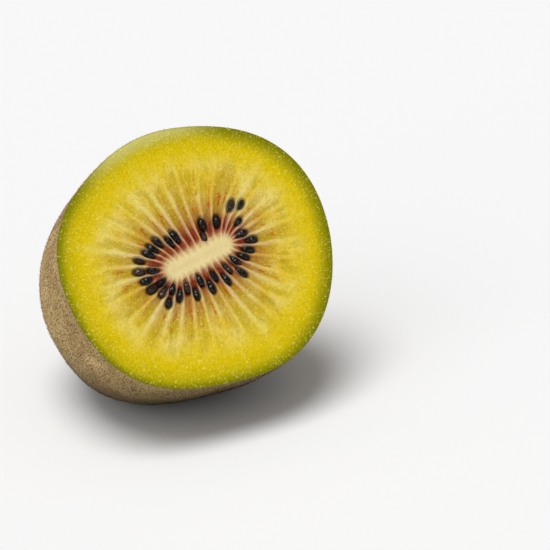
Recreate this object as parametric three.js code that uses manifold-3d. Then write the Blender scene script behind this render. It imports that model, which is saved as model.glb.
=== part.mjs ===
// Half of a kiwi fruit, cut straight across, lying on its skin with the cut face forward and up.
//
// Millimetres, +Z up. The front is -Y. The origin is the middle of the small flat spot that the
// skin rests on. The fruit is laid out about its own axes first: x runs the long way of the cut
// face, y the short way, z comes out of the face, and the skin bulges towards -z. Everything is
// then tipped into the pose that the half comes to rest in.

import * as THREE from 'three';
import { mergeVertices } from 'three/addons/utils/BufferGeometryUtils.js';
import Module from 'manifold-3d';

const wasm = await Module();
wasm.setup();

const { PI, atan2, cos, exp, hypot, sin, sqrt } = Math;
const { degToRad } = THREE.MathUtils;

// --- Driving dimensions ----------------------------------------------------------------------

// The cut face is a slightly lopsided oval.
const FACE_HALF_LENGTH = 27.4;
const FACE_HALF_WIDTH = 23.4;
// Slow waves on the oval's radius: [waves round the face, cosine share, sine share].
const FACE_WAVES = [[3, -0.004, 0.008], [4, 0, 0.014], [5, 0.009, 0.001], [6, -0.005, 0.003]];

// The rounded end behind the face. A fullness of 2 is an ellipsoid, and more is blunter.
const END_DEPTH = 35.3;
const END_FULLNESS = 2.5;

// The stem end: a shallow dimple with a low woody button in it.
const DIMPLE_DEPTH = 1.3;
const DIMPLE_REACH = 3.4;
const BUTTON_HEIGHT = 0.7;
const BUTTON_REACH = 1.9;

// The resting pose: how far the face looks up, and how far its long way is turned.
const FACE_RISE = degToRad(40);
const FACE_TURN = degToRad(16.7);
// The skin flattens by this much where it rests.
const REST_DEPTH = 0.5;

// The core is long, so the rays leave it along hyperbolas. Their foci lie this far from its middle.
const CORE_FOCUS = 6.84;
const CORE_MIDDLE = [-0.57, -0.25];
const CORE_TURN = degToRad(-4.1);

// A seed lies flat in the face with its long way along its ray.
const SEED_LENGTH = 2.3;
const SEED_WIDTH = 1.35;
const SEED_THICKNESS = 1.05;
const SEED_SINK = 0.28;
const POCKET_GAP = 0.3;
// Each seed: [its ray in degrees, reach from the core in millimetres, size against a full seed].
const SEEDS = [
  [2, 7.1, 1], [16, 8.6, 0.85], [24, 12.2, 0.9], [31, 10.8, 1.1], [43, 6.2, 1], [63, 5.4, 1.1],
  [66, 3, 0.8], [103, 5.3, 1.1], [113, 5.2, 0.95], [124, 6.8, 1], [135, 7.2, 1], [143, 7.6, 1],
  [153, 9.4, 0.85], [165, 9.7, 1], [165, 6.4, 1], [176, 8.9, 1], [188, 5.6, 1], [187, 8.7, 1.05],
  [199, 7.4, 1], [209, 5.4, 0.95], [211, 8.8, 0.9], [221, 6.5, 1], [232, 4.6, 1], [243, 6, 0.95],
  [254, 3.7, 1], [264, 5.5, 1.05], [275, 4.1, 0.95], [286, 5.8, 1], [297, 4.5, 0.9], [306, 7.2, 1],
  [315, 4.7, 1], [327, 6.3, 0.95], [338, 7.4, 1], [350, 8.8, 1],
];

// Facets
const STEPS_ROUND = 72;
const STEPS_DEEP = 22;
const SEED_STEPS = [8, 6];

// --- Materials -------------------------------------------------------------------------------

const flesh = new THREE.MeshStandardMaterial({ color: 0xc3b41c, roughness: 0.4, metalness: 0 });
const seedCoat = new THREE.MeshStandardMaterial({ color: 0x1d1215, roughness: 0.3, metalness: 0 });

// --- Shape of the half -----------------------------------------------------------------------

// Distance from the middle of the cut face to its rim, in the direction `angle`.
function faceRadius(angle) {
  const oval = (FACE_HALF_LENGTH * FACE_HALF_WIDTH)
    / hypot(FACE_HALF_WIDTH * cos(angle), FACE_HALF_LENGTH * sin(angle));
  let swell = 1;
  for (const [waves, cosShare, sinShare] of FACE_WAVES) {
    swell += cosShare * cos(waves * angle) + sinShare * sin(waves * angle);
  }
  return oval * swell;
}

// How far the skin is pulled in at the stem end, at a distance from the fruit's axis.
function stemEndLift(distance) {
  const dimple = DIMPLE_DEPTH * exp(-((distance / DIMPLE_REACH) ** 2));
  const button = BUTTON_HEIGHT * exp(-((distance / BUTTON_REACH) ** 6));
  return dimple - button;
}

// Point of the skin: `slide` runs from 0 at the rim to 1 at the stem end.
function skinPoint(angle, slide) {
  const depth = sin(slide * PI / 2);
  const distance = faceRadius(angle) * sqrt(1 - depth ** END_FULLNESS);
  const z = -END_DEPTH * depth + stemEndLift(distance);
  return [distance * cos(angle), distance * sin(angle), z];
}

// Closed surface of the half: the skin in rings from the rim to the stem end, and the flat face.
function halfGeometry() {
  const positions = [];
  const triangles = [];
  for (let ring = 0; ring < STEPS_DEEP; ring++) {
    for (let step = 0; step < STEPS_ROUND; step++) {
      positions.push(...skinPoint(2 * PI * step / STEPS_ROUND, ring / STEPS_DEEP));
    }
  }
  const stemEnd = positions.length / 3;
  positions.push(...skinPoint(0, 1));
  const faceMiddle = stemEnd + 1;
  positions.push(0, 0, 0);
  for (let step = 0; step < STEPS_ROUND; step++) {
    const next = (step + 1) % STEPS_ROUND;
    triangles.push(faceMiddle, step, next);
    for (let ring = 0; ring < STEPS_DEEP - 1; ring++) {
      const near = ring * STEPS_ROUND;
      const far = near + STEPS_ROUND;
      triangles.push(near + step, far + step, far + next);
      triangles.push(near + step, far + next, near + next);
    }
    const last = (STEPS_DEEP - 1) * STEPS_ROUND;
    triangles.push(last + step, stemEnd, last + next);
  }
  const geometry = new THREE.BufferGeometry();
  geometry.setAttribute('position', new THREE.Float32BufferAttribute(positions, 3));
  geometry.setIndex(triangles);
  return geometry;
}

// --- Seeds -----------------------------------------------------------------------------------

// Place and direction of a seed in the face: on its ray's hyperbola, pointing along it.
function seedMatrix(rayAngle, reach) {
  const long = sqrt(reach ** 2 + CORE_FOCUS ** 2);
  const place = new THREE.Vector3(long * cos(rayAngle), reach * sin(rayAngle), -SEED_SINK);
  const heading = atan2(sin(rayAngle), (reach / long) * cos(rayAngle));
  const lying = new THREE.Matrix4().makeRotationZ(heading).setPosition(place);
  const core = new THREE.Matrix4().makeRotationZ(CORE_TURN).setPosition(...CORE_MIDDLE, 0);
  return core.multiply(lying);
}

// A flattened egg with its long way along x, swollen by `extra` all round.
function seedGeometry(size, extra) {
  const geometry = new THREE.SphereGeometry(1, ...SEED_STEPS);
  geometry.rotateZ(-PI / 2);
  geometry.scale(
    size * SEED_LENGTH / 2 + extra,
    size * SEED_WIDTH / 2 + extra,
    size * SEED_THICKNESS / 2 + extra,
  );
  return geometry;
}

// --- Cutting ---------------------------------------------------------------------------------

function toSolid(geometry) {
  const bare = geometry.clone();
  bare.deleteAttribute('normal');
  bare.deleteAttribute('uv');
  const merged = mergeVertices(bare, 1e-4);
  return new wasm.Manifold(new wasm.Mesh({
    numProp: 3,
    vertProperties: new Float32Array(merged.attributes.position.array),
    triVerts: new Uint32Array(merged.index.array),
  }));
}

function toGeometry(solid) {
  const mesh = solid.getMesh();
  const geometry = new THREE.BufferGeometry();
  geometry.setAttribute('position', new THREE.BufferAttribute(mesh.vertProperties, 3));
  geometry.setIndex(new THREE.BufferAttribute(mesh.triVerts, 1));
  return geometry;
}

// --- Resting pose ----------------------------------------------------------------------------

const pose = new THREE.Matrix4().makeRotationX(PI / 2 - FACE_RISE)
  .multiply(new THREE.Matrix4().makeRotationZ(FACE_TURN));

// Block that takes away everything below `height`.
function blockBelow(height) {
  const side = 4 * END_DEPTH;
  return new THREE.BoxGeometry(side, side, side).translate(0, 0, height - side / 2);
}

// The half in its pose with its resting spot cut flat, and the middle of that spot.
function restingHalf() {
  const geometry = halfGeometry().applyMatrix4(pose);
  geometry.computeBoundingBox();
  const restHeight = geometry.boundingBox.min.z + REST_DEPTH;
  const solid = toSolid(geometry).subtract(toSolid(blockBelow(restHeight)));
  const point = new THREE.Vector3();
  const spot = new THREE.Box3();
  const { position } = toGeometry(solid).attributes;
  for (let i = 0; i < position.count; i++) {
    point.fromBufferAttribute(position, i);
    if (point.z < restHeight + 1e-3) spot.expandByPoint(point);
  }
  return { solid, spotMiddle: spot.getCenter(new THREE.Vector3()) };
}

// --- Assembly --------------------------------------------------------------------------------

const { solid: wholeHalf, spotMiddle } = restingHalf();
const kiwiHalf = new THREE.Group();

let pittedHalf = wholeHalf;
SEEDS.forEach(([rayDegrees, reach, size], index) => {
  const matrix = pose.clone().multiply(seedMatrix(degToRad(rayDegrees), reach));
  const pocket = seedGeometry(size, POCKET_GAP).applyMatrix4(matrix);
  pittedHalf = pittedHalf.subtract(toSolid(pocket));

  const seed = new THREE.Mesh(seedGeometry(size, 0), seedCoat);
  seed.name = `seed_${String(index + 1).padStart(2, '0')}`;
  seed.applyMatrix4(matrix);
  seed.position.sub(spotMiddle);
  kiwiHalf.add(seed);
});

const fruitHalf = new THREE.Mesh(toGeometry(pittedHalf), flesh);
fruitHalf.name = 'fruit_half';
fruitHalf.position.copy(spotMiddle).negate();
kiwiHalf.add(fruitHalf);

export default kiwiHalf;
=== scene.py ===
"""The looks of half a yellow-fleshed kiwi fruit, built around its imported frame.

The fruit's own axes are used while it is made: x runs the long way of the cut face, y the short
way, z comes out of the face, in millimetres. to_row_frame() then puts it in its resting pose.
"""

import math
from functools import partial

import bpy
import numpy as np
from mathutils import Matrix, Vector, noise


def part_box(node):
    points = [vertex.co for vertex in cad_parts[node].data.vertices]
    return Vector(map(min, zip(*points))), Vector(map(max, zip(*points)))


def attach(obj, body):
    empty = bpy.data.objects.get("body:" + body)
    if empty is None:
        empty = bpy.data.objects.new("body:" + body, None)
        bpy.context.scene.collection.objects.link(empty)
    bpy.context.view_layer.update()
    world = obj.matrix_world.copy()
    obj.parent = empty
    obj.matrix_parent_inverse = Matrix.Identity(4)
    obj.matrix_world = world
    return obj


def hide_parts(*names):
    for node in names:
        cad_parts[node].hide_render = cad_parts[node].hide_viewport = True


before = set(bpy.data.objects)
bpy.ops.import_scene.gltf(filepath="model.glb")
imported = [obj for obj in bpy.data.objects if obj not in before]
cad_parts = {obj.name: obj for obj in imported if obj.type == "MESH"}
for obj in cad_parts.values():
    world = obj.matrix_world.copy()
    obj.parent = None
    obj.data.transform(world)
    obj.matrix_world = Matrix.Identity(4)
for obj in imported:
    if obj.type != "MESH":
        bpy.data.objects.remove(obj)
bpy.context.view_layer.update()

bl_info = {
    "name": "Kiwi half",
    "version": (1, 0, 0),
    "blender": (4, 5, 0),
    "location": "3D View > Sidebar > Kiwi half",
    "description": "Half of a yellow-fleshed kiwi fruit with its seeds and fuzz",
    "category": "Add Mesh",
}

MM = 0.001
HALF = "fruit_half"
SEEDS = sorted(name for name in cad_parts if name.startswith("seed_"))

# Slow waves on the oval's radius: waves round the face, cosine share, sine share.
FACE_WAVES = ((3, -0.004, 0.008), (4, 0.0, 0.014), (5, 0.009, 0.001), (6, -0.005, 0.003))
# Walls between the seed chambers, as ray angles in degrees. No two chambers are equally wide.
WALLS = (
    -4, 5, 12.5, 20.5, 27.5, 35, 49.5, 61, 74.5, 85, 97, 108.5, 118.5, 130, 139, 149, 159.5,
    170.5, 180.5, 194, 204, 215, 226, 237.5, 248.5, 259.5, 270, 281, 292, 302.5, 312, 321, 332.5,
    344,
)

# Facets of the fine mesh
STEPS_ACROSS_CHAMBER = 12
CORE_RINGS = 5
FACE_RINGS = 132
SKIN_RINGS = 84
# Rings of the face lie a little closer towards the core. 1 would space them evenly.
RING_CROWDING = 1.15
# Points round a seed, and steps along it
SEED_FACETS = (22, 15)

# Fixed seeds of the random draws
FLESH_DRAW = 11
SEED_DRAW = 5
FUZZ_DRAW = 4
HAIR_SHADE_DRAW = 3

# Down to HALVINGS, lengths are in millimetres, in the fruit's own axes.
# The stem end: a shallow dimple with a low woody button in it
DIMPLE_DEPTH, DIMPLE_REACH = 1.3, 3.4
BUTTON_HEIGHT, BUTTON_REACH = 0.7, 1.9
# The core's sides bow out by this much in the middle
CORE_BOW = 0.12
# Reach of the innermost ring that follows the rays
FIRST_REACH = 0.5
# The face lies this far under the CAD's flat one, and the rim a little deeper
FACE_SINK = 0.06
RIM_HEIGHT = -0.12
# The face's relief: size and height of the fine and the broad lumps, and depths of hollows
FINE_LUMP, FINE_RELIEF = 0.7, 0.035
BROAD_LUMP, BROAD_RELIEF = 2.5, 0.05
CHAMBER_HOLLOW = 0.22
SEED_HOLLOW = 0.25
EDGE_DROP = 0.12
# How far the skin lies inside the CAD's, and the size and depth of its lumps and its pores
SKIN_INSET = 0.1
SKIN_LUMP, SKIN_RELIEF = 9.0, 0.22
PORE_SIZE, PORE_RELIEF = 0.9, 0.03
POLE_INSET = 0.1
# Depth of the green flesh under the skin, how much it varies round the rim, and where it is most
GREEN_DEPTH, GREEN_SWING = 3.0, 1.5
GREEN_SIDE = math.radians(20)
# Painted sheen, a pale band on the top of the edge: its middle, where it is full, where it ends, and
# its width
SHEEN_MIDDLE = math.radians(82)
SHEEN_FULL, SHEEN_END = math.radians(5), math.radians(48)
SHEEN_WIDTH = 3.4
# Grain coordinates: how fine across the rays, how drawn out along them and along the skin
GRAIN_ACROSS, GRAIN_ALONG, SKIN_GRAIN_ALONG = 14, 0.35, 0.32
# Distance to the nearest seed before any is looked at, and the skin's distance from the core
FAR_AWAY = 50.0
PAST_CORE = 30
# The rim lies between these reaches on every ray, and is closed in on by halving
REACH_RANGE = (5.0, 45.0)
HALVINGS = 40

# A seed's half length and thickness, and its range of half widths, against the CAD seed's
SEED_HALF = 0.48
SEED_HALF_WIDTHS = (0.37, 0.46)
# Its tip points at the core and reaches a little further than the blunt end. The girth is a
# power of a sine, so that less than 1 makes both ends fuller, and it narrows towards the tip.
SEED_TIP = -1.03
SEED_GIRTH_POWER, SEED_TAPER = 0.9, 0.2
# Spread of the random tilt of a seed in its pocket, in radians
SEED_TILT = 0.12

# Hairs on the skin. Their sizes were chosen to show in the render and are not measured.
HAIR_RADIUS = 0.035 * MM
HAIR_LEAN = 1.15
SHORTEST_HAIR = 0.45
BARE_HEIGHT = 0.6 * MM

# Painted shade: the skin is painted darker towards the table, not at all at the first height, most at
# the second
SHADE_HEIGHTS = (18 * MM, 4 * MM)
PAINTED_SHADE_BELOW = ("painted shade on the underside", "#241a02", 0.9)

# Camera and light
SENSOR_WIDTH = 36
WORLD_STRENGTH = 0.28
# Each light: name, direction it comes from, strength, and how wide it looks in degrees
LIGHTS = (
    ("overhead_softbox", (-0.3, -0.08, 1.0), 2.12, 36),
    ("window_left", (-0.85, -0.3, 0.6), 0.62, 50),
)

# Node kinds and settings the materials use again and again
MATH = "ShaderNodeMath"
RANGE = "ShaderNodeMapRange"
MIX = "ShaderNodeMix"
NOISE = "ShaderNodeTexNoise"
MEASURE = "ShaderNodeAttribute"
TIMES = {"operation": "MULTIPLY"}
TIMES_PLUS = {"operation": "MULTIPLY_ADD"}
SMOOTH = {"interpolation_type": "SMOOTHSTEP"}
COLOUR = {"data_type": "RGBA", "out": 2}


def hex_colour(text):
    """Linear RGBA of an sRGB hex colour."""
    parts = [int(text[i:i + 2], 16) / 255 for i in (1, 3, 5)]
    linear = [c / 12.92 if c <= 0.04045 else ((c + 0.055) / 1.055) ** 2.4 for c in parts]
    return (*linear, 1.0)


def add_node(tree, kind, inputs=(), out=0, stops=(), **settings):
    """Adds a node with its settings, colour stops and links, and gives back one output.

    Inputs come in order, or by name or number. An input is a plain value or another output.
    """
    node = tree.nodes.new(kind)
    for name, value in settings.items():
        setattr(node, name, value)
    for number, (place, colour) in enumerate(stops):
        elements = node.color_ramp.elements
        element = elements[number] if number < 2 else elements.new(place)
        element.position = place
        element.color = hex_colour(colour)
    for socket, value in inputs.items() if isinstance(inputs, dict) else enumerate(inputs):
        if isinstance(value, bpy.types.NodeSocket):
            tree.links.new(value, node.inputs[socket])
        else:
            node.inputs[socket].default_value = value
    return node.outputs[out] if node.outputs else None


# --- Settings --------------------------------------------------------------------------------


class KiwiShapeSettings(bpy.types.PropertyGroup):
    """Sizes of the half"""

    face_half_length: bpy.props.FloatProperty(
        name="Face half length", description="Half of the long way of the cut face",
        default=0.0274, unit="LENGTH")
    face_half_width: bpy.props.FloatProperty(
        name="Face half width", description="Half of the short way of the cut face",
        default=0.0234, unit="LENGTH")
    end_depth: bpy.props.FloatProperty(
        name="End depth", description="From the cut face to the stem end",
        default=0.0353, unit="LENGTH")
    end_fullness: bpy.props.FloatProperty(
        name="End fullness", description="2 is an ellipsoid, and more is blunter", default=2.5)
    face_rise: bpy.props.FloatProperty(
        name="Face rise", description="How far the cut face looks up at rest",
        default=math.radians(40), unit="ROTATION")
    face_turn: bpy.props.FloatProperty(
        name="Face turn", description="How far the long way of the face is turned",
        default=math.radians(16.7), unit="ROTATION")
    core_focus: bpy.props.FloatProperty(
        name="Core focus", description="Reach of the rays' foci from the core's middle",
        default=0.00684, unit="LENGTH")
    core_half_length: bpy.props.FloatProperty(
        name="Core half length", description="Half of the cream core's length",
        default=0.0073, unit="LENGTH")
    core_half_width: bpy.props.FloatProperty(
        name="Core half width", description="Half of the cream core's width",
        default=0.00195, unit="LENGTH")
    core_turn: bpy.props.FloatProperty(
        name="Core turn", description="Turn of the core against the face's long way",
        default=math.radians(-4.1), unit="ROTATION")
    core_shift: bpy.props.FloatVectorProperty(
        name="Core shift", description="Middle of the core from the middle of the face",
        default=(-0.00057, -0.00025), size=2, unit="LENGTH")
    fuzz_length: bpy.props.FloatProperty(
        name="Fuzz length", description="Length of one hair on the skin",
        default=0.00042, unit="LENGTH")
    fuzz_density: bpy.props.FloatProperty(
        name="Fuzz density", description="Hairs on a square millimetre of skin", default=9.0)


class KiwiColourSettings(bpy.types.PropertyGroup):
    """Main colours of the half"""

    flesh: bpy.props.FloatVectorProperty(
        name="Flesh", description="Yellow of the outer flesh", subtype="COLOR", size=4,
        default=hex_colour("#dfc406"))
    core: bpy.props.FloatVectorProperty(
        name="Core", description="Cream of the core", subtype="COLOR", size=4,
        default=hex_colour("#f2e2aa"))
    skin: bpy.props.FloatVectorProperty(
        name="Skin", description="Brown of the skin between its hairs", subtype="COLOR", size=4,
        default=hex_colour("#b0925e"))
    seed: bpy.props.FloatVectorProperty(
        name="Seed", description="Black-brown of the seed coat", subtype="COLOR", size=4,
        default=hex_colour("#0e0706"))


class KiwiStageSettings(bpy.types.PropertyGroup):
    """Camera, floor and light"""

    azimuth: bpy.props.FloatProperty(
        name="Azimuth", description="Way round to the camera from the front",
        default=math.radians(-31.8), unit="ROTATION")
    elevation: bpy.props.FloatProperty(
        name="Elevation", description="Height of the camera over the table as an angle",
        default=math.radians(24), unit="ROTATION")
    distance: bpy.props.FloatProperty(
        name="Distance", description="From the camera to the cut face",
        default=0.38, unit="LENGTH")
    lens: bpy.props.FloatProperty(
        name="Lens", description="Focal length in millimetres", default=143.0)
    aim_aside: bpy.props.FloatProperty(
        name="Aim aside", description="How far right of the face's middle the camera aims",
        default=0.01283, unit="LENGTH")
    aim_below: bpy.props.FloatProperty(
        name="Aim below", description="How far below the face's middle the camera aims",
        default=0.00357, unit="LENGTH")
    floor_half_width: bpy.props.FloatProperty(
        name="Floor half width", description="Half of the floor's width",
        default=2.0, unit="LENGTH")


# --- Shape -----------------------------------------------------------------------------------


def in_millimetres(value):
    return value / MM


def face_radius(angle, shape):
    """Distance from the middle of the cut face to its rim."""
    length = in_millimetres(shape.face_half_length)
    width = in_millimetres(shape.face_half_width)
    oval = length * width / np.hypot(width * np.cos(angle), length * np.sin(angle))
    swell = 1.0
    for waves, cosine, sine in FACE_WAVES:
        swell = swell + cosine * np.cos(waves * angle) + sine * np.sin(waves * angle)
    return oval * swell


def skin_points(angle, slide, shape):
    """Points of the skin, where slide runs from 0 at the rim to 1 at the stem end."""
    depth = np.sin(slide * math.pi / 2)
    shrink = np.sqrt(np.maximum(0, 1 - depth ** shape.end_fullness))
    distance = face_radius(angle, shape) * shrink
    dimple = DIMPLE_DEPTH * np.exp(-(distance / DIMPLE_REACH) ** 2)
    dimple = dimple - BUTTON_HEIGHT * np.exp(-(distance / BUTTON_REACH) ** 6)
    z = dimple - in_millimetres(shape.end_depth) * depth
    return np.stack([distance * np.cos(angle), distance * np.sin(angle), z], -1)


def from_core_axes(x, y, shape):
    """Face coordinates of a point given along and across the core."""
    c, s = math.cos(shape.core_turn), math.sin(shape.core_turn)
    shift_x, shift_y = (in_millimetres(v) for v in shape.core_shift)
    return x * c - y * s + shift_x, x * s + y * c + shift_y


def to_core_axes(x, y, shape):
    """Coordinates along and across the core of a point of the face."""
    c, s = math.cos(shape.core_turn), math.sin(shape.core_turn)
    shift_x, shift_y = (in_millimetres(v) for v in shape.core_shift)
    x, y = x - shift_x, y - shift_y
    return x * c + y * s, y * c - x * s


def ray_points(ray, reach, shape):
    """Points on the rays, hyperbolas that leave the long core square and then fan out."""
    focus = in_millimetres(shape.core_focus)
    x = np.hypot(reach, focus) * np.cos(ray)
    return from_core_axes(x, reach * np.sin(ray), shape)


def ray_and_reach(x, y, shape):
    """The ray that a point of the face lies on, and its reach from the core's middle line."""
    along, across = to_core_axes(x, y, shape)
    focus = in_millimetres(shape.core_focus)
    w = np.arccosh((along + 1j * across) / focus)
    return w.imag, focus * np.sinh(w.real)


def rim_reach(ray, shape):
    """Reach of the rim on each ray, by halving."""
    low, high = (np.full_like(ray, reach) for reach in REACH_RANGE)
    for _ in range(HALVINGS):
        middle = (low + high) / 2
        x, y = ray_points(ray, middle, shape)
        outside = np.hypot(x, y) > face_radius(np.arctan2(y, x), shape)
        high = np.where(outside, middle, high)
        low = np.where(outside, low, middle)
    return (low + high) / 2


def pose_matrix(shape):
    """Turns the fruit's own axes into the row's."""
    tip = Matrix.Rotation(math.pi / 2 - shape.face_rise, 3, "X")
    return np.array(tip @ Matrix.Rotation(shape.face_turn, 3, "Z"))


def face_middle(shape):
    """Middle of the cut face in the row frame, in millimetres, found from the frame's box."""
    angle, slide = np.meshgrid(np.linspace(0, 2 * math.pi, 361), np.linspace(0, 1, 181))
    own = skin_points(angle, slide, shape).reshape(-1, 3) @ pose_matrix(shape).T
    low, high = (np.array(corner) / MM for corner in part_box(HALF))
    middle = (low + high - own.min(0) - own.max(0)) / 2
    middle[2] = high[2] - own[:, 2].max()
    return middle


def to_row_frame(points, shape):
    """Row frame places, in metres, of points given in the fruit's own axes."""
    return (points @ pose_matrix(shape).T + face_middle(shape)) * MM


def to_fruit_axes(points, shape):
    return (points / MM - face_middle(shape)) @ pose_matrix(shape)


def smooth_step(value, start, end):
    t = np.clip((value - start) / (end - start), 0, 1)
    return t * t * (3 - 2 * t)


def lumps(points, size, octaves=3):
    """Soft noise from about -1 to 1, with features of a given size in millimetres."""
    return np.array([noise.fractal(Vector(p) / size, 1.0, 2.0, octaves) for p in points])


def seed_frames(shape):
    """Each seed's middle, heading, length, width and thickness, measured on the frame."""
    found = []
    for name in SEEDS:
        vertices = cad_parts[name].data.vertices
        points = to_fruit_axes(np.array([v.co for v in vertices]), shape)
        middle = (points.min(0) + points.max(0)) / 2
        ray, reach = ray_and_reach(middle[0], middle[1], shape)
        slope = reach / math.hypot(reach, in_millimetres(shape.core_focus))
        heading = math.atan2(math.sin(ray), slope * math.cos(ray)) + shape.core_turn
        along = points[:, 0] * math.cos(heading) + points[:, 1] * math.sin(heading)
        across = points[:, 1] * math.cos(heading) - points[:, 0] * math.sin(heading)
        found.append((middle, heading, np.ptp(along), np.ptp(across), np.ptp(points[:, 2])))
    return found


def seed_clearance(x, y, seeds):
    """Distance in the face from the outline of the nearest seed, negative inside it."""
    nearest = np.full_like(x, FAR_AWAY)
    for middle, heading, length, width, _ in seeds:
        dx, dy = x - middle[0], y - middle[1]
        along = dx * math.cos(heading) + dy * math.sin(heading)
        across = dy * math.cos(heading) - dx * math.sin(heading)
        away = (np.hypot(along * 2 / length, across * 2 / width) - 1) * width / 2
        nearest = np.minimum(nearest, away)
    return nearest


def core_clearance(x, y, shape):
    """Distance from the core's edge, negative inside it. The core is a slab with round ends."""
    along, across = to_core_axes(x, y, shape)
    half_width = in_millimetres(shape.core_half_width)
    straight = in_millimetres(shape.core_half_length) - half_width
    beyond = np.maximum(np.abs(along) - straight, 0)
    bow = CORE_BOW * np.cos(along * math.pi / (2 * straight + 2 * half_width))
    return np.hypot(beyond, across) - half_width - bow


# --- Meshes ----------------------------------------------------------------------------------


def ring_faces(first, count, rings):
    """Quads between successive rings of `count` points each, starting at point `first`."""
    near = np.arange(count)
    after = (near + 1) % count
    faces = []
    for ring in range(rings - 1):
        a = first + ring * count
        b = a + count
        faces.append(np.stack([a + near, b + near, b + after, a + after], -1))
    return np.concatenate(faces).tolist()


def new_mesh_object(name, points, faces):
    mesh = bpy.data.meshes.new(name)
    mesh.from_pydata([tuple(p) for p in points], [], faces)
    mesh.validate()
    piece = bpy.data.objects.new(name, mesh)
    bpy.context.scene.collection.objects.link(piece)
    return piece


def store(mesh, name, values):
    """Keeps one number or one vector for each point, for the materials to read."""
    values = np.asarray(values, float)
    kind, field = ("FLOAT", "value") if values.ndim == 1 else ("FLOAT_VECTOR", "vector")
    mesh.attributes.new(name, kind, "POINT").data.foreach_set(field, values.ravel())


def chamber_columns():
    """Ray angles of the mesh columns, crowded towards each wall, and the chamber of each."""
    edges = np.radians([*WALLS, WALLS[0] + 360])
    share = (1 - np.cos(np.pi * np.arange(STEPS_ACROSS_CHAMBER) / STEPS_ACROSS_CHAMBER)) / 2
    rays = edges[:-1, None] + np.diff(edges)[:, None] * share
    chamber = np.repeat(np.arange(len(WALLS)), STEPS_ACROSS_CHAMBER)
    middle = np.abs(share - 0.5) * 2
    return rays.ravel(), chamber, np.tile(1 - middle, len(WALLS))


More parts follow.
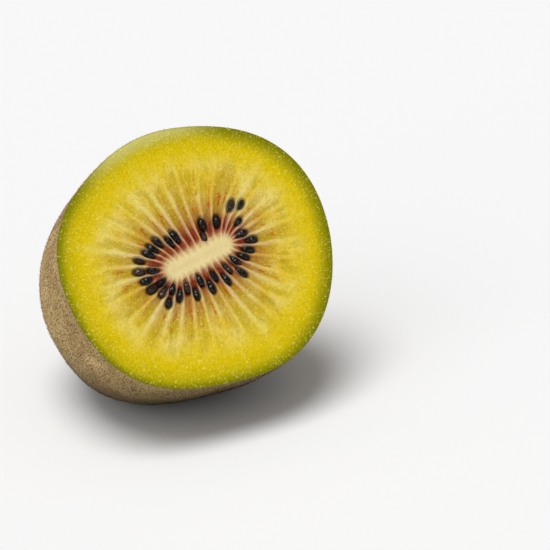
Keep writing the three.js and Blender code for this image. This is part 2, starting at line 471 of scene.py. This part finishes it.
def build_half(shape):
    """One closed mesh of the cut face and the skin, with the measures its materials use."""
    rays, chamber, inner_share = chamber_columns()
    count = len(rays)
    rng = np.random.default_rng(FLESH_DRAW)
    tone = rng.random(len(WALLS))[chamber]
    # Each wall is stronger or fainter than the next, and the columns near it take its strength
    strength = rng.random(len(WALLS))
    beside = (chamber + (np.tile(np.arange(STEPS_ACROSS_CHAMBER), len(WALLS))
                         > STEPS_ACROSS_CHAMBER / 2)) % len(WALLS)
    wall_strength = strength[beside]
    rim = rim_reach(rays, shape)

    # The face, from the core's middle outwards
    share = np.linspace(0, 1, FACE_RINGS) ** RING_CROWDING
    reach = FIRST_REACH + (rim - FIRST_REACH) * share[:, None]
    x, y = ray_points(rays, reach, shape)
    middle_x, middle_y = from_core_axes(0.0, 0.0, shape)
    inner = (np.arange(1, CORE_RINGS + 1) / (CORE_RINGS + 1))[:, None]
    x = np.concatenate([middle_x + (x[0] - middle_x) * inner, x])
    y = np.concatenate([middle_y + (y[0] - middle_y) * inner, y])
    reach = np.concatenate([reach[0] * inner, reach])
    rings = len(x)

    seeds = seed_frames(shape)
    core_edge = core_clearance(x, y, shape)
    from_seed = seed_clearance(x, y, seeds)
    rim_x, rim_y = x[-1], y[-1]
    from_rim = np.hypot(x - rim_x, y - rim_y)
    at_core = np.array([np.interp(0, core_edge[:, j], from_rim[:, j]) for j in range(count)])
    outward = np.clip(1 - from_rim / at_core, -0.2, 1)
    # Half a chamber's width here, times how far the column stands from its walls
    next_x, next_y = np.roll(x, -1, 1), np.roll(y, -1, 1)
    step = np.hypot(next_x - x, next_y - y)
    walls_at = np.arange(0, count, STEPS_ACROSS_CHAMBER)
    chamber_width = np.repeat(np.add.reduceat(step, walls_at, 1), STEPS_ACROSS_CHAMBER, 1)
    wall = chamber_width * inner_share / 2

    flat = np.stack([x, y, np.zeros_like(x)], -1).reshape(-1, 3)
    fine = lumps(flat, FINE_LUMP).reshape(x.shape) * smooth_step(core_edge, -1.0, 1.5)
    broad = lumps(flat, BROAD_LUMP).reshape(x.shape)
    in_chambers = smooth_step(core_edge, -0.2, 0.5) * (1 - smooth_step(outward, 0.15, 0.6))
    sunk = CHAMBER_HOLLOW * in_chambers * smooth_step(wall, 0.1, 0.5)
    around_seed = SEED_HOLLOW * (1 - smooth_step(from_seed, 0.0, 0.45))
    around_seed = around_seed * smooth_step(core_edge, -0.1, 0.3)
    edge = EDGE_DROP * (1 - smooth_step(from_rim, 0.0, 0.5))
    z = FINE_RELIEF * fine + BROAD_RELIEF * broad - sunk - around_seed - edge - FACE_SINK
    z = np.where(np.arange(rings)[:, None] == rings - 1, RIM_HEIGHT, z)

    # The skin, from the rim to the stem end
    angle = np.arctan2(rim_y, rim_x)
    from_top = np.abs(angle - SHEEN_MIDDLE)
    # Green flesh lies under the skin, deeper on one side, and fades under the painted sheen at the top
    near_top = 1 - smooth_step(from_top, SHEEN_FULL, SHEEN_END)
    # Painted sheen: light glancing off the wet top of the edge, painted into the colour as a pale band
    painted_sheen = near_top * (1 - smooth_step(from_rim, 0.0, SHEEN_WIDTH))
    green_depth = GREEN_DEPTH + GREEN_SWING * np.cos(angle - GREEN_SIDE)
    green = from_rim / green_depth + 0.8 * near_top
    slide = np.arange(1, SKIN_RINGS) / SKIN_RINGS
    skin = skin_points(angle[None, :], slide[:, None], shape)
    rough = lumps(skin.reshape(-1, 3), SKIN_LUMP).reshape(skin.shape[:2])
    pores = lumps(skin.reshape(-1, 3), PORE_SIZE, 2).reshape(skin.shape[:2])
    inset = SKIN_INSET + SKIN_RELIEF * np.clip(rough + 0.4, 0, 1) + PORE_RELIEF * pores
    inset = inset * smooth_step(slide, 0, 0.05)[:, None]
    away = skin / np.linalg.norm(skin, axis=-1, keepdims=True)
    skin = skin - away * inset[..., None]

    pole = skin_points(np.zeros(1), np.ones(1), shape)
    points = np.concatenate([
        [[middle_x, middle_y, -FACE_SINK]],
        np.stack([x, y, z], -1).reshape(-1, 3),
        skin.reshape(-1, 3),
        pole + [[0, 0, POLE_INSET]],
    ])
    placed = to_row_frame(points, shape)
    placed[:, 2] = np.maximum(placed[:, 2], 0)

    last = len(points) - 1
    near = np.arange(count)
    after = (near + 1) % count
    fan_in = np.stack([np.zeros(count, int), 1 + near, 1 + after], -1).tolist()
    end = 1 + (rings + SKIN_RINGS - 2) * count
    fan_out = np.stack([end + near, np.full(count, last), end + after], -1).tolist()
    sides = ring_faces(1, count, rings + SKIN_RINGS - 1)
    piece = new_mesh_object("kiwi_half", placed, fan_in + sides + fan_out)

    mesh = piece.data
    face_count = len(fan_in) + (rings - 1) * count
    slots = np.zeros(len(mesh.polygons), np.int32)
    slots[face_count:] = 1
    mesh.polygons.foreach_set("material_index", slots)

    def spread(at_middle, on_face, on_skin, at_end):
        on_skin = np.broadcast_to(on_skin, skin.shape[:2])
        return np.concatenate([[at_middle], on_face.ravel(), on_skin.ravel(), [at_end]])

    tones = np.broadcast_to(tone, x.shape)
    strengths = np.broadcast_to(wall_strength, x.shape)
    # What each measure is at the face's middle, on the face, on the skin and at the stem end
    measures = {
        "core_edge": (-1, core_edge, PAST_CORE, PAST_CORE),
        "outward": (-0.2, outward, 1, 1),
        "wall": (0, wall, 3, 3),
        "tone": (0, tones, tone, 0),
        "wall_strength": (0, strengths, wall_strength, 0),
        "from_rim": (20, from_rim, 0, 0),
        "from_seed": (5, from_seed, 5, 5),
        "green": (5, green, 0, 0),
        "painted_sheen": (0, painted_sheen, 0, 0),
        "along": (0, np.zeros_like(x), slide[:, None], 1),
    }
    for name, values in measures.items():
        store(mesh, name, spread(*values))
    # Grain coordinates: rays on the face and the fruit's length on the skin are drawn out
    ray_grid = np.broadcast_to(rays, x.shape)
    face_grain = np.stack([
        GRAIN_ACROSS * np.cos(ray_grid), GRAIN_ACROSS * np.sin(ray_grid), GRAIN_ALONG * reach,
    ], -1)
    skin_grain = skin * [1, 1, SKIN_GRAIN_ALONG]
    grain = [
        [[0, 0, 0]], face_grain.reshape(-1, 3), skin_grain.reshape(-1, 3), [[0, 0, -GRAIN_ACROSS]],
    ]
    store(mesh, "grain", np.concatenate(grain))
    mesh.shade_smooth()
    mesh.set_sharp_from_angle(angle=math.radians(50))
    return piece


def build_seeds(shape):
    """All seeds in one mesh: flattened drops with the pointed end towards the core."""
    rng = np.random.default_rng(SEED_DRAW)
    around, rows = SEED_FACETS
    turn = 2 * math.pi * np.arange(around) / around
    down = math.pi * np.arange(1, rows) / rows
    points, faces, veils = [], [], []
    for middle, heading, length, width, thickness in seed_frames(shape):
        along = np.cos(down)
        girth = np.sin(down) ** SEED_GIRTH_POWER * (1 + SEED_TAPER * along)
        ring = np.stack([
            np.broadcast_to(along[:, None], (rows - 1, around)),
            girth[:, None] * np.cos(turn),
            girth[:, None] * np.sin(turn),
        ], -1).reshape(-1, 3)
        drop = np.concatenate([[[1, 0, 0]], ring, [[SEED_TIP, 0, 0]]])
        half_width = width * rng.uniform(*SEED_HALF_WIDTHS)
        drop = drop * [length * SEED_HALF, half_width, thickness * SEED_HALF]
        nod, roll = rng.normal(0, SEED_TILT, 2)
        turned = Matrix.Rotation(heading, 3, "Z") @ Matrix.Rotation(nod, 3, "Y")
        turned = turned @ Matrix.Rotation(roll, 3, "X")
        first = len(points) * len(drop)
        points.append(to_row_frame(drop @ np.array(turned).T + middle, shape))
        near = np.arange(around)
        after = (near + 1) % around
        blunt_ring = first + 1
        tip_ring = blunt_ring + (rows - 2) * around
        end = np.full(around, first + len(drop) - 1)
        blunt_fan = [np.full(around, first), blunt_ring + near, blunt_ring + after]
        faces += np.stack(blunt_fan, -1).tolist()
        faces += ring_faces(blunt_ring, around, rows - 1)
        faces += np.stack([tip_ring + near, end, tip_ring + after], -1).tolist()
        veils.append(np.full(len(drop), rng.random()))
    piece = new_mesh_object("kiwi_seeds", np.concatenate(points), faces)
    store(piece.data, "veil", np.concatenate(veils))
    piece.data.shade_smooth()
    return piece


# --- Fuzz ------------------------------------------------------------------------------------


def fuzz_tree(material):
    """Geometry Nodes: short hairs leaning every way, spread over the skin's faces."""
    tree = bpy.data.node_groups.new("Skin fuzz", "GeometryNodeTree")
    face = tree.interface
    face.new_socket("Skin", in_out="INPUT", socket_type="NodeSocketGeometry")
    for name in ("Density", "Length", "Thickness", "Bare height"):
        face.new_socket(name, in_out="INPUT", socket_type="NodeSocketFloat")
    face.new_socket("Seed", in_out="INPUT", socket_type="NodeSocketInt")
    face.new_socket("Fuzz", in_out="OUTPUT", socket_type="NodeSocketGeometry")
    node = partial(add_node, tree)
    given = node("NodeGroupInput").node.outputs
    # Hairs grow on the skin slot only, and not where the fruit lies on the table
    position = node("GeometryNodeInputPosition")
    height = node("ShaderNodeSeparateXYZ", (position,), out="Z")
    clear = node("FunctionNodeCompare", (height, given["Bare height"]), data_type="FLOAT",
                 operation="GREATER_THAN")
    slot = node("GeometryNodeInputMaterialIndex")
    on_skin = node("FunctionNodeCompare", {2: slot, 3: 0}, data_type="INT",
                   operation="GREATER_THAN")
    wanted = node("FunctionNodeBooleanMath", (clear, on_skin), operation="AND")
    spots = node(
        "GeometryNodeDistributePointsOnFaces",
        {"Mesh": given["Skin"], "Selection": wanted, "Density": given["Density"],
         "Seed": given["Seed"]})
    hair = node(
        "GeometryNodeMeshCone",
        {"Vertices": 3, "Side Segments": 1, "Radius Top": 0.0,
         "Radius Bottom": given["Thickness"], "Depth": given["Length"]}, fill_type="NONE")
    lean = node(
        "FunctionNodeRandomValue",
        ((-HAIR_LEAN, -HAIR_LEAN, 0.0), (HAIR_LEAN, HAIR_LEAN, 2 * math.pi)),
        data_type="FLOAT_VECTOR")
    turn = node("FunctionNodeEulerToRotation", (lean,))
    leaning = node(
        "FunctionNodeRotateRotation",
        {"Rotation": spots.node.outputs["Rotation"], "Rotate By": turn}, rotation_space="LOCAL")
    size = node("FunctionNodeRandomValue", {2: SHORTEST_HAIR, 3: 1.0}, out=1, data_type="FLOAT")
    placed = node(
        "GeometryNodeInstanceOnPoints",
        {"Points": spots, "Instance": hair, "Rotation": leaning, "Scale": size})
    shade = node(
        "FunctionNodeRandomValue", {2: 0.0, 3: 1.0, "Seed": HAIR_SHADE_DRAW}, out=1, data_type="FLOAT")
    shaded = node(
        "GeometryNodeStoreNamedAttribute",
        {"Geometry": placed, "Name": "shade", "Value": shade}, data_type="FLOAT",
        domain="INSTANCE")
    real = node("GeometryNodeRealizeInstances", (shaded,))
    dressed = node("GeometryNodeSetMaterial", {"Geometry": real, "Material": material})
    node("NodeGroupOutput", (dressed,))
    return tree


def build_fuzz(skin, shape, material):
    """The hairs as a plain mesh of their own."""
    grower = skin.copy()
    bpy.context.scene.collection.objects.link(grower)
    modifier = grower.modifiers.new("Fuzz", "NODES")
    modifier.node_group = fuzz_tree(material)
    values = {
        "Density": shape.fuzz_density / MM ** 2,
        "Length": shape.fuzz_length,
        "Thickness": HAIR_RADIUS,
        "Bare height": BARE_HEIGHT,
        "Seed": FUZZ_DRAW,
    }
    for item in modifier.node_group.interface.items_tree:
        if item.in_out == "INPUT" and item.name in values:
            modifier[item.identifier] = values[item.name]
    evaluated = grower.evaluated_get(bpy.context.evaluated_depsgraph_get())
    mesh = bpy.data.meshes.new_from_object(evaluated)
    bpy.data.objects.remove(grower)
    mesh.name = "kiwi_fuzz"
    piece = bpy.data.objects.new("kiwi_fuzz", mesh)
    bpy.context.scene.collection.objects.link(piece)
    return piece


# --- Materials -------------------------------------------------------------------------------


def new_material(name):
    material = bpy.data.materials.new(name)
    material.use_nodes = True
    material.node_tree.nodes.clear()
    return material, material.node_tree


def paint_layers(tree, colour, layers):
    """Covers a colour with tints, each as strong as all of its masks allow.

    A layer is a name, a tint, its greatest cover, and masks as (value, nothing at, full at).
    """
    for name, tint, cover, masks in layers:
        for value, nothing, full in masks:
            mask = add_node(tree, RANGE, (value, nothing, full), **SMOOTH)
            cover = add_node(tree, MATH, (mask, cover), **TIMES)
        if isinstance(tint, str):
            tint = hex_colour(tint)
        colour = add_node(tree, MIX, {0: cover, 6: colour, 7: tint}, label=name, **COLOUR)
    return colour


def flesh_material(colours):
    """Ripe kiwi flesh, cut with a knife: wet and translucent.

    Red and brown near the seeds, straw and gold further out, olive under the skin. Pale walls
    part the chambers. The glints of burst juice cells, about 0.4 mm, are finer than the mesh and
    are painted as pale points, and the top of the edge has a pale band of painted sheen.
    """
    material, tree = new_material("ripe_kiwi_flesh")
    node = partial(add_node, tree)
    outward, wall, tone, wall_strength, core_edge, from_rim, from_seed, green, painted_sheen = (
        node(MEASURE, attribute_name=name, out="Fac")
        for name in ("outward", "wall", "tone", "wall_strength", "core_edge", "from_rim",
                     "from_seed", "green", "painted_sheen"))
    grain = node(MEASURE, attribute_name="grain", out="Vector")
    place = node("ShaderNodeTexCoord", out="Object")

    clouds = node(NOISE, {"Vector": place, "Scale": 1 / (4.2 * MM), "Detail": 2})
    drift = node(NOISE, {"Vector": place, "Scale": 1 / (5.5 * MM), "Detail": 3})
    cells = node(NOISE, {"Vector": place, "Scale": 1 / (0.38 * MM), "Detail": 1.5})
    clumps = node(NOISE, {"Vector": place, "Scale": 1 / (0.7 * MM), "Detail": 2})
    fibre = node(NOISE, {"Vector": grain, "Scale": 1.6, "Detail": 3, "Roughness": 0.6})
    fine_fibre = node(NOISE, {"Vector": grain, "Scale": 4.5, "Detail": 2, "Roughness": 0.6})
    blots = node(NOISE, {"Vector": grain, "Scale": 0.7, "Detail": 2.5, "Roughness": 0.6})
    flecks = node(NOISE, {"Vector": grain, "Scale": 1.1, "Detail": 3, "Roughness": 0.65})
    juice = node(NOISE, {"Vector": grain, "Scale": 5.0, "Detail": 1.5, "Roughness": 0.6})

    # From the core to the rim, with edges that drift in and out
    shift = node(RANGE, (drift, 0.3, 0.7, -0.022, 0.022))
    drifted = node(MATH, (outward, shift), operation="ADD")
    base = node("ShaderNodeValToRGB", (drifted,), stops=(
        (0.0, "#b56c2c"), (0.16, "#c4822a"), (0.3, "#d2a02e"), (0.44, "#dfbc34"),
        (0.58, "#e6c836"), (0.7, "#e6ca22")))
    wall_tint = node("ShaderNodeValToRGB", (outward,), stops=(
        (0.0, "#bf8a7c"), (0.1, "#cda48c"), (0.24, "#e0ca9a"), (0.45, "#ecdc88"), (0.8, "#e8d650")))
    cream = node(MIX, {0: clumps, 6: colours.core, 7: hex_colour("#ecd592")}, **COLOUR)

    # A chamber's amber wedge ends raggedly, sooner in some chambers than in others
    past_wedge = node(MATH, (tone, -0.3, outward), **TIMES_PLUS)
    past_wedge = node(MATH, (fibre, -0.25, past_wedge), **TIMES_PLUS)
    # Walls are thin at the core, wide and hazy further out, and some end sooner
    waver = node(RANGE, (blots, 0.3, 0.7, -0.14, 0.14))
    half_width = node(RANGE, (outward, 0.0, 0.7, 0.13, 1.6))
    in_wall = node(MATH, (node(MATH, (wall, waver), operation="ADD"), half_width),
                   operation="DIVIDE")
    wall_reach = node(MATH, (wall_strength, -0.45, outward), **TIMES_PLUS)
    # The core's fibres run out along the walls
    frayed = node(MATH, (wall, 0.8, core_edge), **TIMES_PLUS)
    frayed = node(MATH, (fine_fibre, 1.0, frayed), **TIMES_PLUS)

    colour = paint_layers(tree, base, (
        ("outer flesh", colours.flesh, 1.0, [(drifted, 0.66, 0.82)]),
        ("olive outer flesh", "#b0a600", 1.0, [(drifted, 0.78, 1.02)]),
        ("straw clouds", "#f0e08c", 0.52, [(clouds, 0.4, 0.66), (outward, 0.8, 0.55)]),
        ("amber wedge", "#b28c0c", 0.5, [(wall, 0.1, 0.6), (past_wedge, 0.33, 0.05)]),
        ("olive blotch", "#b8a000", 0.6,
         [(wall, 0.1, 0.6), (blots, 0.47, 0.6), (outward, 0.8, 0.5)]),
        ("brown haze", "#965434", 0.8,
         [(wall, 0.0, 0.45), (core_edge, 8.4, 2.6), (fibre, 0.2, 0.62)]),
        ("red streaks", "#781414", 0.92,
         [(wall, 0.02, 0.22), (core_edge, 4.8, 2.0), (fine_fibre, 0.2, 0.52)]),
        ("rust flecks", "#b84a14", 0.75,
         [(flecks, 0.55, 0.63), (wall, 0.1, 0.6), (outward, 0.6, 0.35)]),
        # Dark jelly round each seed, darkened further with painted shade where the flesh meets the
        # seed
        ("dark jelly and painted shade", "#2a0c08", 0.85, [(from_seed, 0.42, 0.0)]),
        ("wall", wall_tint, 0.7,
         [(in_wall, 1.0, 0.0), (wall_reach, 0.55, 0.0), (wall_strength, -0.5, 0.9),
          (fibre, 0.05, 0.5)]),
        ("core fringe", "#d8a274", 0.55, [(frayed, 2.2, 0.7)]),
        ("core", cream, 1.0, [(frayed, 1.5, -0.3)]),
        ("green under the skin", "#626c00", 0.85, [(green, 1.0, -0.15)]),
        ("cells in shade", "#a89200", 0.18, [(clumps, 0.5, 0.36), (core_edge, 2.5, 7.0)]),
        # Painted sheen: a pale band where light glances off the wet top of the edge
        ("painted sheen on the top edge", "#d8d68c", 0.6, [(painted_sheen, 0.0, 1.0)]),
        ("round glints", "#fbf080", 0.36, [(cells, 0.6, 0.71), (core_edge, 2.5, 7.0)]),
        ("drawn-out glints", "#fbf080", 0.42, [(juice, 0.6, 0.72), (core_edge, 2.5, 7.0)]),
        ("skin's thickness", "#6a6118", 0.6, [(from_rim, 0.22, 0.04)]),
    ))

    height = node(MATH, (fine_fibre, 0.5, cells), **TIMES_PLUS)
    bump = node("ShaderNodeBump", {"Strength": 0.5, "Distance": 0.3 * MM, "Height": height})
    wet = node(
        "ShaderNodeBsdfPrincipled",
        {"Base Color": colour, "Roughness": node(RANGE, (fine_fibre, 0.3, 0.7, 0.25, 0.42)),
         "IOR": 1.35, "Specular IOR Level": 0.12, "Subsurface Weight": 0.35,
         "Subsurface Radius": (1.0, 0.6, 0.12), "Subsurface Scale": 1.6 * MM, "Normal": bump})
    node("ShaderNodeOutputMaterial", {"Surface": wet})
    return material


def skin_material(colours):
    """Kiwi skin: a thin dry peel, dull, tan at the cut edge and olive towards the stem end.

    Dark hair roots and pale scuffs are drawn out along the fruit. The underside is darkened with
    painted shade, so it stays whatever the light.
    """
    material, tree = new_material("dry_kiwi_peel")
    node = partial(add_node, tree)
    place = node("ShaderNodeTexCoord", out="Object")
    grain = node(MEASURE, attribute_name="grain", out="Vector")
    along = node(MEASURE, attribute_name="along", out="Fac")
    height = node("ShaderNodeSeparateXYZ", (place,), out="Z")
    mottle = node(NOISE, {"Vector": place, "Scale": 1 / (7.5 * MM), "Detail": 4})
    patches = node(NOISE, {"Vector": place, "Scale": 1 / (16 * MM), "Detail": 3})
    roots = node(NOISE, {"Vector": grain, "Scale": 3.8, "Detail": 2, "Roughness": 0.7})
    scuffs = node(NOISE, {"Vector": grain, "Scale": 4.2, "Detail": 1})
    colour = paint_layers(tree, colours.skin, (
        ("tan mottle", "#dab985", 1.0, [(mottle, 0.38, 0.62)]),
        ("olive patches", "#8f8636", 0.55, [(patches, 0.48, 0.68)]),
        ("olive stem end", "#64541f", 0.65, [(along, 0.25, 1.0)]),
        ("pale scuffs", "#dfbd8c", 0.6, [(scuffs, 0.55, 0.68)]),
        ("hair roots", "#3a2d10", 0.8, [(roots, 0.49, 0.62)]),
        # Painted shade: darker towards the table
        (*PAINTED_SHADE_BELOW, [(height, *SHADE_HEIGHTS)]),
    ))
    bump = node("ShaderNodeBump", {"Strength": 0.5, "Distance": 0.2 * MM, "Height": roots})
    peel = node(
        "ShaderNodeBsdfPrincipled",
        {"Base Color": colour, "Roughness": 0.8, "IOR": 1.45, "Specular IOR Level": 0.25,
         "Sheen Weight": 0.12, "Sheen Roughness": 0.5, "Sheen Tint": hex_colour("#e8cf98"),
         "Normal": bump})
    node("ShaderNodeOutputMaterial", {"Surface": peel})
    return material


def fuzz_material():
    """Dry plant hairs, dull, from dark brown to straw: a fine speckle over the peel."""
    material, tree = new_material("kiwi_fuzz_hair")
    node = partial(add_node, tree)
    shade = node(MEASURE, attribute_name="shade", out="Fac")
    tint = node("ShaderNodeValToRGB", (shade,), stops=(
        (0.0, "#30250c"), (0.4, "#6c552a"), (0.7, "#ac8c50"), (0.9, "#cfa068"), (1.0, "#e2c48c")))
    place = node("ShaderNodeTexCoord", out="Object")
    height = node("ShaderNodeSeparateXYZ", (place,), out="Z")
    # Painted shade: the hairs too are darker towards the table
    tint = paint_layers(tree, tint, (
        (*PAINTED_SHADE_BELOW, [(height, *SHADE_HEIGHTS)]),
    ))
    hair = node("ShaderNodeBsdfPrincipled",
                {"Base Color": tint, "Roughness": 0.75, "IOR": 1.45, "Specular IOR Level": 0.25})
    node("ShaderNodeOutputMaterial", {"Surface": hair})
    return material


def seed_material(colours):
    """Ripe seed coat: hard, pitted and wet, nearly black with pinpoint lights.

    Some seeds, picked at random, are browned as if by a film of juice.
    """
    material, tree = new_material("wet_seed_coat")
    node = partial(add_node, tree)
    veil = node(MEASURE, attribute_name="veil", out="Fac")
    place = node("ShaderNodeTexCoord", out="Object")
    pits = node("ShaderNodeTexVoronoi", {"Vector": place, "Scale": 1 / (0.45 * MM)})
    colour = paint_layers(tree, colours.seed, (
        ("film of juice", "#4e362c", 0.45, [(veil, 0.6, 1.0)]),
    ))
    bump = node("ShaderNodeBump", {"Strength": 1.0, "Distance": 0.16 * MM, "Height": pits})
    coat = node("ShaderNodeBsdfPrincipled",
                {"Base Color": colour, "Roughness": 0.12, "IOR": 1.45, "Specular IOR Level": 0.35,
                 "Normal": bump})
    node("ShaderNodeOutputMaterial", {"Surface": coat})
    return material


def floor_material():
    """Matt white card, so bright that it nearly vanishes."""
    material, tree = new_material("matt_white_card")
    card = add_node(
        tree, "ShaderNodeBsdfPrincipled",
        {"Base Color": hex_colour("#f4f4f4"), "Roughness": 0.9, "Specular IOR Level": 0.0})
    add_node(tree, "ShaderNodeOutputMaterial", {"Surface": card})
    return material


# --- Operators -------------------------------------------------------------------------------


class KIWI_OT_flesh_and_skin(bpy.types.Operator):
    """Make the half's flesh and skin"""

    bl_idname = "kiwi_half.flesh_and_skin"
    bl_label = "Flesh and skin"

    def execute(self, context):
        colours = context.scene.kiwi_colours
        piece = build_half(context.scene.kiwi_shape)
        piece.data.materials.append(flesh_material(colours))
        piece.data.materials.append(skin_material(colours))
        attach(piece, "root")
        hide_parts(HALF)
        return {"FINISHED"}


class KIWI_OT_seeds(bpy.types.Operator):
    """Make the seeds round the core"""

    bl_idname = "kiwi_half.seeds"
    bl_label = "Seeds"

    def execute(self, context):
        piece = build_seeds(context.scene.kiwi_shape)
        piece.data.materials.append(seed_material(context.scene.kiwi_colours))
        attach(piece, "root")
        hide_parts(*SEEDS)
        return {"FINISHED"}


class KIWI_OT_fuzz(bpy.types.Operator):
    """Grow the short fuzz on the skin"""

    bl_idname = "kiwi_half.fuzz"
    bl_label = "Fuzz"

    def execute(self, context):
        half = bpy.data.objects["kiwi_half"]
        piece = build_fuzz(half, context.scene.kiwi_shape, fuzz_material())
        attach(piece, "root")
        return {"FINISHED"}


class KIWI_OT_stage(bpy.types.Operator):
    """Set up the camera, the floor and the light"""

    bl_idname = "kiwi_half.stage"
    bl_label = "Stage"

    def execute(self, context):
        stage = context.scene.kiwi_stage
        add_camera(stage, Vector(face_middle(context.scene.kiwi_shape)) * MM)
        w = stage.floor_half_width
        corners = [(-w, -w, 0), (w, -w, 0), (w, w, 0), (-w, w, 0)]
        floor = new_mesh_object("floor", corners, [(0, 1, 2, 3)])
        floor.data.materials.append(floor_material())
        add_lights()
        return {"FINISHED"}


def add_camera(stage, face):
    a, e = stage.azimuth, stage.elevation
    back = Vector((math.sin(a) * math.cos(e), -math.cos(a) * math.cos(e), math.sin(e)))
    right = Vector((math.cos(a), math.sin(a), 0))
    up = back.cross(right)
    data = bpy.data.cameras.new("camera")
    data.lens = stage.lens
    data.sensor_width = SENSOR_WIDTH
    camera = bpy.data.objects.new("camera", data)
    aim = face + right * stage.aim_aside - up * stage.aim_below
    camera.matrix_world = Matrix.Translation(aim + back * stage.distance) @ Matrix(
        (right, up, back)).transposed().to_4x4()
    bpy.context.scene.collection.objects.link(camera)
    bpy.context.scene.camera = camera


def add_lights():
    """A white tent under a very broad soft light from above, with a weaker one from the left."""
    world = bpy.data.worlds.new("white tent")
    world.use_nodes = True
    sky = world.node_tree.nodes["Background"]
    sky.inputs["Color"].default_value = (1, 1, 1, 1)
    sky.inputs["Strength"].default_value = WORLD_STRENGTH
    bpy.context.scene.world = world
    for name, away, strength, spread in LIGHTS:
        data = bpy.data.lights.new(name, "SUN")
        data.energy = strength
        data.angle = math.radians(spread)
        lamp = bpy.data.objects.new(name, data)
        lamp.rotation_euler = Vector(away).to_track_quat("Z", "Y").to_euler()
        bpy.context.scene.collection.objects.link(lamp)
    bpy.context.scene.view_settings.view_transform = "Standard"


class KIWI_PT_panel(bpy.types.Panel):
    """Lists the pieces and their settings"""

    bl_idname = "KIWI_PT_panel"
    bl_label = "Kiwi half"
    bl_space_type = "VIEW_3D"
    bl_region_type = "UI"
    bl_category = "Kiwi half"

    def draw(self, context):
        for settings in ("kiwi_shape", "kiwi_colours", "kiwi_stage"):
            group = getattr(context.scene, settings)
            for name in group.__annotations__:
                self.layout.prop(group, name)
        for operator in OPERATORS:
            self.layout.operator(operator.bl_idname)


OPERATORS = (KIWI_OT_flesh_and_skin, KIWI_OT_seeds, KIWI_OT_fuzz, KIWI_OT_stage)
SETTINGS = {
    "kiwi_shape": KiwiShapeSettings,
    "kiwi_colours": KiwiColourSettings,
    "kiwi_stage": KiwiStageSettings,
}


def register():
    for cls in (*SETTINGS.values(), *OPERATORS, KIWI_PT_panel):
        bpy.utils.register_class(cls)
    for name, cls in SETTINGS.items():
        setattr(bpy.types.Scene, name, bpy.props.PointerProperty(type=cls))


def unregister():
    for name in SETTINGS:
        delattr(bpy.types.Scene, name)
    for cls in reversed((*SETTINGS.values(), *OPERATORS, KIWI_PT_panel)):
        bpy.utils.unregister_class(cls)


def main():
    register()
    bpy.ops.kiwi_half.flesh_and_skin()
    bpy.ops.kiwi_half.seeds()
    bpy.ops.kiwi_half.fuzz()
    bpy.ops.kiwi_half.stage()


if __name__ == "__main__":
    main()
